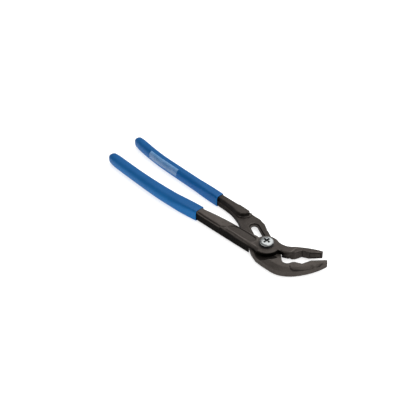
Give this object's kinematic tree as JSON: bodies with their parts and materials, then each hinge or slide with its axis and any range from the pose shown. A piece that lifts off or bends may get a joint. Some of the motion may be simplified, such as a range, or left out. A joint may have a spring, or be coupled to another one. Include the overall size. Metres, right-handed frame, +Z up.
{
  "type": "slip-joint pliers",
  "caption": "Slip-joint pliers with angled jaws, a lap joint with a toothed adjusting slot, a cross-recess pivot bolt and long dipped grips.",
  "frame": {"origin": "on the pivot bolt's axis, at the nut's face that the tool lies on", "axes": "+X from the pivot towards the jaws (the handles run along -X), +Y from the upper arm's handle towards the lower arm's handle, +Z up, out of the bolt's head"},
  "size_m": [0.2568, 0.0534, 0.0154],
  "materials": {
    "forged_steel": "phosphated, semi-matt",
    "bright_steel": "polished plating",
    "black_steel": "blackened, satin",
    "plain_steel": "plain steel, oiled",
    "dipped_grip": "glossy dipped vinyl",
    "label_film": "thin printed film"
  },
  "bodies": {
    "upper_side": {"upper_arm": "forged_steel", "upper_grip": "dipped_grip"},
    "bolt": {"pivot_bolt": "bright_steel", "head_washer": "black_steel", "slide_key": "black_steel", "track_washer": "plain_steel", "lock_nut": "plain_steel"},
    "lower_side": {"lower_arm": "forged_steel", "lower_grip": "dipped_grip", "grip_label": "label_film"}
  },
  "joints": [
    {"name": "pivot", "type": "hinge", "parent": "upper_side", "child": "bolt", "pos_m": [0, 0, 0.006], "axis": [0, 0, -1], "range_deg": [-4, 38]},
    {"name": "adjust", "type": "slide", "parent": "bolt", "child": "lower_side", "axis": [0.9063, -0.4226, 0], "range_m": [-0.006, 0.02]}
  ]
}
